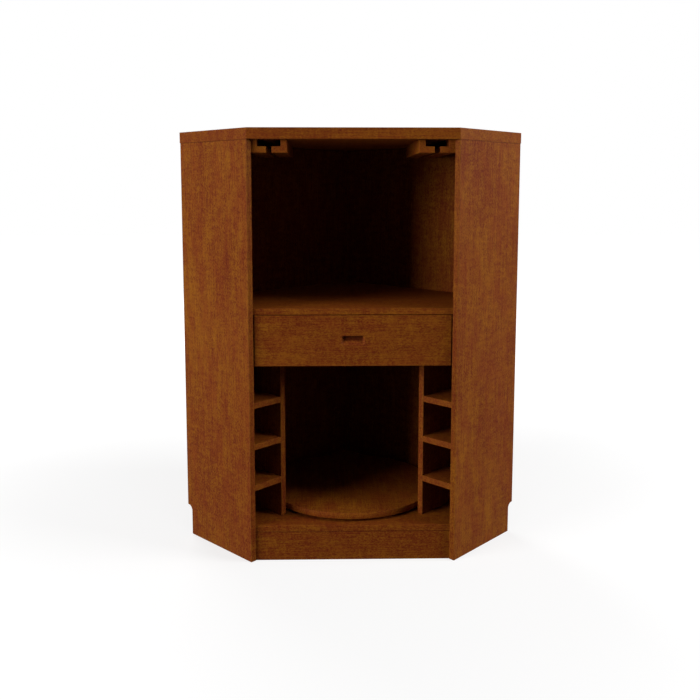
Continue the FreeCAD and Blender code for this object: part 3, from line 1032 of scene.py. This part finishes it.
@dataclass
class Drawer:
    """The drawer: veneered front, pale box, runners and rollers."""

    box: dict[str, Grain] = field(default_factory=lambda: {
        "drawer_inner_front": Grain.CROSSWISE, "drawer_back": Grain.CROSSWISE,
        "drawer_bottom": Grain.CROSSWISE, "drawer_side_left": Grain.DEEP,
        "drawer_side_right": Grain.DEEP})
    runners: tuple[str, ...] = (
        "runner_channel_left", "runner_channel_right", "drawer_runner_left", "drawer_runner_right")
    rollers: tuple[str, ...] = (
        "front_roller_left", "front_roller_right", "rear_roller_left", "rear_roller_right")
    axles: tuple[str, ...] = ("front_roller_axles", "rear_roller_axles")
    cheeks: tuple[str, str] = ("drawer_cheek_left", "drawer_cheek_right")
    front_screw_width_share: float = 0.7
    front_screw_height_shares: tuple[float, float] = (0.3, 0.78)
    runner_screw_inset: float = 0.005
    runner_screw_shares: tuple[float, ...] = (0.12, 0.5, 0.85)
    runner_screw_radius: float = 0.0034
    runner_screw_rise: float = 0.001
    channel_sheet: float = 0.0012
    channel_screw_rise: float = 0.0003
    channel_screw_shares: tuple[float, ...] = (0.11, 0.5, 0.9)
    bumper_shares: tuple[float, float] = (0.35, 0.88)
    front_seed: float = 21.0
    box_seed: float = 71.0

    def dress(self) -> None:
        """Dress the front, the box, the runners, the rollers and the axles."""
        EASED.apply("drawer_front")
        # The front's veneer is darkened in the pull's hollow as painted shade.
        veneer = CALM_VENEER.material("drawer_front_veneer", Grain.CROSSWISE, self.front_seed,
                                      hollow=self._pull())
        dress("drawer_front", veneer)
        for number, (node, grain) in enumerate(self.box.items()):
            EASED.apply(node)
            dress(node, DRAWER_WOOD.material(f"{node}_wood", grain, self.box_seed + number))
        coat = RUNNER_COAT.material("runner_coat")
        plastic = ROLLER_PLASTIC.material("roller_plastic")
        bright = BRIGHT.material("axle_steel")
        pairs = ((self.runners, coat), (self.rollers, plastic), (self.axles, bright))
        for nodes, material in pairs:
            for node in nodes:
                dress(node, material)

    def build(self) -> None:
        """Set the screws of the front and of both runners, and the bumpers of the cheeks."""
        self._front_screws()
        self._runner_screws("left", 1)
        self._runner_screws("right", -1)
        seats = []
        for cheek in self.cheeks:
            low, high = corners(cheek)
            middle = (low[0] + high[0]) / 2
            levels = [along(low[2], high[2], share) for share in self.bumper_shares]
            seats += [(middle, low[1], level) for level in levels]
        Bumpers(seats).build()

    def _pull(self) -> Point:
        """Give the middle of the pull, in the plane of the front's face."""
        low, high = corners("drawer_front")
        return float(low[0] + high[0]) / 2, float(low[1]), float(low[2] + high[2]) / 2

    def _front_screws(self) -> None:
        """Set four screws inside the box, which hold the veneered front."""
        low, high = corners("drawer_inner_front")
        half = self.front_screw_width_share * (high[0] - low[0]) / 2
        levels = [along(low[2], high[2], share) for share in self.front_screw_height_shares]
        seats = [(side * half, high[1], level) for side in (-1, 1) for level in levels]
        ScrewHeads("drawer_front_screws", "drawer", seats, BACKWARD).build()

    def _runner_screws(self, side: str, inward: int) -> None:
        """Set the screws under one runner and in the web of its channel.

        Args:
            side: The side, left or right.
            inward: 1 where inward is towards greater x, and -1 where it is towards smaller x.
        """
        low, high = corners(f"drawer_runner_{side}")
        x = (high[0] if inward > 0 else low[0]) - inward * self.runner_screw_inset
        seats = [(x, along(low[1], high[1], share), low[2]) for share in self.runner_screw_shares]
        ScrewHeads(f"runner_screws_{side}", "drawer", seats, DOWN, self.runner_screw_radius,
                   self.runner_screw_rise).build()
        low, high = corners(f"runner_channel_{side}")
        x = (low[0] if inward > 0 else high[0]) + inward * self.channel_sheet
        middle = (low[2] + high[2]) / 2
        seats = [(x, along(low[1], high[1], share), middle) for share in self.channel_screw_shares]
        facing = (float(inward), 0.0, 0.0)
        ScrewHeads(f"channel_screws_{side}", "carcass", seats, facing, self.runner_screw_radius,
                   self.channel_screw_rise).build()


@dataclass
class Turntable:
    """The round revolving shelf and its flat bearing."""

    screw_inset: float = 0.009
    screw_radius: float = 0.0032
    screw_rise: float = 0.0011
    plate_sheet: float = 0.0012
    disc_seed: float = 51.0

    def dress(self) -> None:
        """Dress the disc and the bearing."""
        EASED.apply("turntable_disc")
        veneer = VENEER.material("turntable_disc_veneer", Grain.DEEP, self.disc_seed)
        dress("turntable_disc", veneer)
        zinc = ZINC.material("bearing_zinc")
        dress("bearing_lower_plate", zinc)
        dress("bearing_upper_plate", zinc)
        dress("bearing_ball_ring", CAGE_PLASTIC.material("ball_ring_plastic"))

    def build(self) -> None:
        """Build the balls and the cage, and set a screw in each corner of both plates."""
        BallRing().build()
        self._plate_screws("lower", "carcass", UP)
        self._plate_screws("upper", "turntable", DOWN)

    def _plate_screws(self, plate: str, body: str, facing: Point) -> None:
        """Set the four screws of one plate.

        Args:
            plate: The plate, lower or upper.
            body: The body that the plate belongs to.
            facing: The way its screws look.
        """
        low, high = corners(f"bearing_{plate}_plate")
        level = low[2] + self.plate_sheet if facing == UP else high[2] - self.plate_sheet
        seats = [(x, y, level) for x in (low[0] + self.screw_inset, high[0] - self.screw_inset)
                 for y in (low[1] + self.screw_inset, high[1] - self.screw_inset)]
        ScrewHeads(f"bearing_{plate}_screws", body, seats, facing, self.screw_radius,
                   self.screw_rise).build()


@dataclass
class Lamp:
    """A soft rectangular lamp that looks at a point of the module."""

    name: str
    place: Point
    power: float
    width: float
    height: float
    aim: Point = (0.0, 0.0, 0.4)

    def build(self) -> None:
        """Make the lamp and turn it to its aim."""
        data = bpy.data.lights.new(self.name, "AREA")
        data.shape = "RECTANGLE"
        data.size = self.width
        data.size_y = self.height
        data.energy = self.power
        lamp = bpy.data.objects.new(self.name, data)
        lamp.location = self.place
        x, y, z = np.array(self.aim) - np.array(self.place)
        lamp.rotation_euler = (math.atan2(math.hypot(x, y), -z), 0.0, math.atan2(-x, y))
        bpy.context.scene.collection.objects.link(lamp)
        LOG.info("lit %s", self.name)


@dataclass
class Studio:
    """The pale floor, the soft lamps, the white surroundings and the camera."""

    white: Colour = (1.0, 1.0, 1.0)
    ambient: Colour = (0.005, 0.005, 0.005)
    floor_half: float = 14.0
    floor_lines: int = 9
    floor_colour: Colour = (0.3, 0.3, 0.3)
    floor_bounce: Colour = (0.06, 0.06, 0.06)
    floor_glow: Colour = (0.72, 0.72, 0.72)
    floor_fade: Span = (0.7, 2.6)
    camera_place: Point = (-0.0646, -2.240163, 0.9242)
    camera_pitch: float = math.radians(6.446)
    camera_turn: float = -0.02006
    focal_pixels: float = 809.39
    picture_pixels: float = 700.0
    sensor_width: float = 36.0
    shift: Span = (0.0107, -0.1)
    lamps: tuple[Lamp, ...] = field(default_factory=lambda: (
        Lamp("key_lamp", (-3.82, -2.34, 1.44), power=182.0, width=2.2, height=1.7),
        Lamp("front_lamp", (0.0, -1.78, 4.2), power=21.0, width=2.2, height=1.0),
        Lamp("right_lamp", (3.76, -1.01, 1.97), power=155.0, width=2.2, height=1.2),
        Lamp("rear_lamp", (-1.9, 3.8, 2.2), power=120.0, width=2.4, height=2.4)))

    def build(self) -> None:
        """Build the floor, the surroundings, the lamps and the camera."""
        self._floor()
        self._surroundings()
        for lamp in self.lamps:
            lamp.build()
        self._camera()
        bpy.context.scene.view_settings.view_transform = "Standard"

    def _floor(self) -> None:
        """Lay the floor: a square grid in the plane of the object's underside."""
        line = np.linspace(-self.floor_half, self.floor_half, self.floor_lines)
        x, y = np.meshgrid(line, line)
        points = np.stack([x, y, np.zeros_like(x)], axis=-1).reshape(-1, 3)
        faces = grid_faces(self.floor_lines, self.floor_lines)
        floor = mesh_piece("floor", points, faces, smooth=False)
        floor.data.materials.append(self._floor_material())
        LOG.info("built floor")

    def _floor_material(self) -> bpy.types.Material:
        """Make the floor's finish.

        It looks white, yet keeps the shadow, and it lights the object as a dim grey floor does.

        Returns:
            The finished material.
        """
        recipe = Recipe.named("pale_floor")
        away = recipe.measure("LENGTH", recipe.place())
        glow = recipe.blend(away.between(self.floor_fade), self.floor_glow, self.white)
        matt = recipe.node("ShaderNodeBsdfDiffuse", {}, {"Color": opaque(self.floor_colour)})
        bounce = recipe.node("ShaderNodeBsdfDiffuse", {}, {"Color": opaque(self.floor_bounce)})
        light = recipe.node("ShaderNodeEmission", {}, {"Color": glow, "Strength": 1.0})
        both = recipe.node("ShaderNodeAddShader", {}, {0: matt, 1: light})
        shader = recipe.node("ShaderNodeMixShader", {}, {0: recipe.seen(), 1: bounce, 2: both})
        recipe.node("ShaderNodeOutputMaterial", {"target": "ALL"}, {"Surface": shader})
        return recipe.owner

    def _surroundings(self) -> None:
        """Make the world: white where it is seen, a low even light elsewhere."""
        recipe = Recipe(bpy.data.worlds.new("surroundings"))
        colour = recipe.blend(recipe.seen(), self.ambient, self.white)
        light = recipe.node("ShaderNodeBackground", {}, {"Color": colour, "Strength": 1.0})
        recipe.node("ShaderNodeOutputWorld", {}, {"Surface": light})
        bpy.context.scene.world = recipe.owner

    def _camera(self) -> None:
        """Place the camera at the photograph's viewing angle."""
        data = bpy.data.cameras.new("camera")
        data.sensor_width = self.sensor_width
        data.lens = self.focal_pixels * self.sensor_width / self.picture_pixels
        data.shift_x, data.shift_y = self.shift
        camera = bpy.data.objects.new("camera", data)
        camera.location = self.camera_place
        camera.rotation_euler = (math.pi / 2 - self.camera_pitch, 0.0, self.camera_turn)
        bpy.context.scene.collection.objects.link(camera)
        bpy.context.scene.camera = camera


def main() -> None:
    """Build and dress the sub-assemblies in order, and build the studio."""
    logging.basicConfig(level=logging.INFO)
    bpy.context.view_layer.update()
    stemware, drawer, turntable = StemwareRacks(), Drawer(), Turntable()
    for assembly in (Carcass(), BottleRacks(), stemware, drawer, turntable):
        assembly.dress()
    for assembly in (stemware, drawer, turntable):
        assembly.build()
    Studio().build()


if __name__ == "__main__":
    main()
